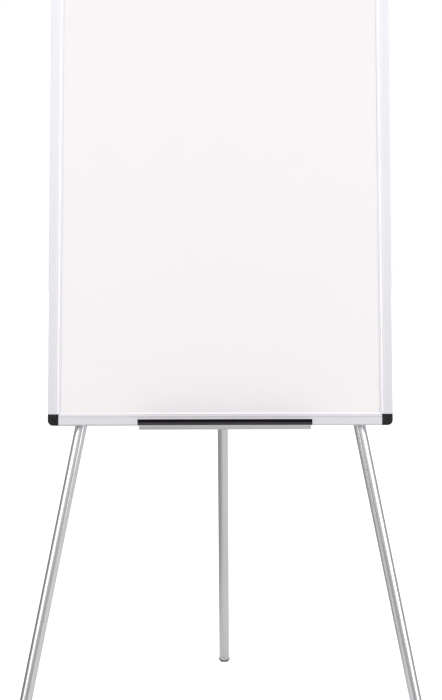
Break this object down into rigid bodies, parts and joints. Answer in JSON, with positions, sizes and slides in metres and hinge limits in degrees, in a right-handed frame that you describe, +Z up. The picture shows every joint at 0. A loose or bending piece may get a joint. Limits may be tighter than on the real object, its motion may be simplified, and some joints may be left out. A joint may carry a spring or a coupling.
{
  "type": "flipchart easel",
  "caption": "Free-standing folding flipchart easel: framed white board with pen tray and sprung paper clamp on a telescopic tube tripod.",
  "frame": {"origin": "on the floor, below the middle of the box round the whole easel", "axes": "+Z up, the board faces -Y and leans back towards +Y, +X to the right as seen from the front"},
  "size_m": [0.8514, 1.0458, 1.6578],
  "materials": {
    "satin_aluminium": "satin anodised, fine lengthwise brushing",
    "silver_tube": "silver tube, soft gloss",
    "zinc_steel": "zinc plated",
    "white_enamel": "gloss white enamel on steel",
    "fibreboard": "raw hardboard",
    "back_sheet": "galvanised steel sheet",
    "black_plastic": "fine moulded grain",
    "trim_plastic": "smooth, slightly glossy",
    "black_steel": "black powder coat",
    "foot_rubber": "dull rubber",
    "grip_rubber": "dull rubber strip"
  },
  "bodies": {
    "board": {"rail_left": "satin_aluminium", "rail_right": "satin_aluminium", "rail_top": "satin_aluminium", "rail_bottom": "satin_aluminium", "corner_cap_bottom_left": "black_plastic", "corner_cap_top_left": "black_plastic", "corner_cap_top_right": "black_plastic", "corner_cap_bottom_right": "black_plastic", "writing_sheet": "white_enamel", "board_core": "fibreboard", "back_sheet": "back_sheet", "tray_trough": "satin_aluminium", "tray_lip_trim": "trim_plastic", "tray_screw_left": "zinc_steel", "tray_screw_right": "zinc_steel", "beam_upper": "satin_aluminium", "beam_lower": "satin_aluminium", "beam_screw_upper_left": "zinc_steel", "beam_screw_upper_right": "zinc_steel", "beam_screw_lower_left": "zinc_steel", "beam_screw_lower_right": "zinc_steel", "head_plate": "black_steel", "front_pivot_bolt_left": "zinc_steel", "front_pivot_bolt_right": "zinc_steel", "rear_pivot_pin": "zinc_steel", "leg_rest_left": "black_plastic", "leg_rest_right": "black_plastic", "clamp_base": "satin_aluminium", "clamp_rod": "zinc_steel", "clamp_spring_left": "zinc_steel", "clamp_spring_right": "zinc_steel", "clamp_screw_left": "zinc_steel", "clamp_screw_right": "zinc_steel"},
    "left_leg": {"left_leg_head": "black_plastic", "left_leg_upper_tube": "silver_tube", "left_leg_collar": "black_plastic"},
    "left_leg_lower": {"left_leg_lower_tube": "silver_tube", "left_leg_glide": "black_plastic", "left_leg_foot": "foot_rubber"},
    "left_leg_knob": {"left_leg_clamp_knob": "black_plastic"},
    "right_leg": {"right_leg_head": "black_plastic", "right_leg_upper_tube": "silver_tube", "right_leg_collar": "black_plastic"},
    "right_leg_lower": {"right_leg_lower_tube": "silver_tube", "right_leg_glide": "black_plastic", "right_leg_foot": "foot_rubber"},
    "right_leg_knob": {"right_leg_clamp_knob": "black_plastic"},
    "rear_leg": {"rear_leg_head": "black_plastic", "rear_leg_upper_tube": "silver_tube", "rear_leg_collar": "black_plastic"},
    "rear_leg_lower": {"rear_leg_lower_tube": "silver_tube", "rear_leg_glide": "black_plastic", "rear_leg_foot": "foot_rubber"},
    "rear_leg_knob": {"rear_leg_clamp_knob": "black_plastic"},
    "clamp": {"clamp_bar": "satin_aluminium", "clamp_grip": "grip_rubber"},
    "pad_peg_left": {"pad_peg_left": "zinc_steel"},
    "pad_peg_knob_left": {"pad_peg_knob_left": "black_plastic"},
    "pad_peg_right": {"pad_peg_right": "zinc_steel"},
    "pad_peg_knob_right": {"pad_peg_knob_right": "black_plastic"}
  },
  "joints": [
    {"name": "left_leg_fold", "type": "hinge", "parent": "board", "child": "left_leg", "pos_m": [-0.11, -0.2394, 1.53803], "axis": [0, -0.9848, 0.1736], "range_deg": [0, 11]},
    {"name": "left_leg_extend", "type": "slide", "parent": "left_leg", "child": "left_leg_lower", "axis": [-0.1908, -0.1705, -0.9667], "range_m": [-0.55, 0.18]},
    {"name": "left_leg_knob_turn", "type": "hinge", "parent": "left_leg", "child": "left_leg_knob", "pos_m": [-0.27829, -0.38974, 0.68539], "axis": [0, 0.9848, -0.1736], "range_deg": [0, 540]},
    {"name": "right_leg_fold", "type": "hinge", "parent": "board", "child": "right_leg", "pos_m": [0.11, -0.2394, 1.53803], "axis": [0, 0.9848, -0.1736], "range_deg": [0, 11]},
    {"name": "right_leg_extend", "type": "slide", "parent": "right_leg", "child": "right_leg_lower", "axis": [0.1908, -0.1705, -0.9667], "range_m": [-0.55, 0.18]},
    {"name": "right_leg_knob_turn", "type": "hinge", "parent": "right_leg", "child": "right_leg_knob", "pos_m": [0.27829, -0.38974, 0.68539], "axis": [0, 0.9848, -0.1736], "range_deg": [0, 540]},
    {"name": "rear_leg_fold", "type": "hinge", "parent": "board", "child": "rear_leg", "pos_m": [0, -0.23566, 1.53737], "axis": [-1, 0, 0], "range_deg": [0, 36]},
    {"name": "rear_leg_extend", "type": "slide", "parent": "rear_leg", "child": "rear_leg_lower", "axis": [0, 0.4384, -0.8988], "range_m": [-0.55, 0.18]},
    {"name": "rear_leg_knob_turn", "type": "hinge", "parent": "rear_leg", "child": "rear_leg_knob", "pos_m": [0, 0.15099, 0.74464], "axis": [0, 0.8988, 0.4384], "range_deg": [0, 540]},
    {"name": "clamp_open", "type": "hinge", "parent": "board", "child": "clamp", "pos_m": [0, -0.25986, 1.65232], "axis": [-1, 0, 0], "range_deg": [0, 40], "stiffness_Nm_per_rad": 1.2, "springref_deg": -22.92},
    {"name": "pad_peg_left_slide", "type": "slide", "parent": "clamp", "child": "pad_peg_left", "axis": [-1, 0, 0], "range_m": [-0.055, 0.04]},
    {"name": "pad_peg_knob_left_turn", "type": "hinge", "parent": "pad_peg_left", "child": "pad_peg_knob_left", "pos_m": [-0.21, -0.27713, 1.631], "axis": [0, -0.9848, 0.1736], "range_deg": [-540, 0]},
    {"name": "pad_peg_right_slide", "type": "slide", "parent": "clamp", "child": "pad_peg_right", "axis": [1, 0, 0], "range_m": [-0.055, 0.04]},
    {"name": "pad_peg_knob_right_turn", "type": "hinge", "parent": "pad_peg_right", "child": "pad_peg_knob_right", "pos_m": [0.21, -0.27713, 1.631], "axis": [0, -0.9848, 0.1736], "range_deg": [-540, 0]}
  ]
}
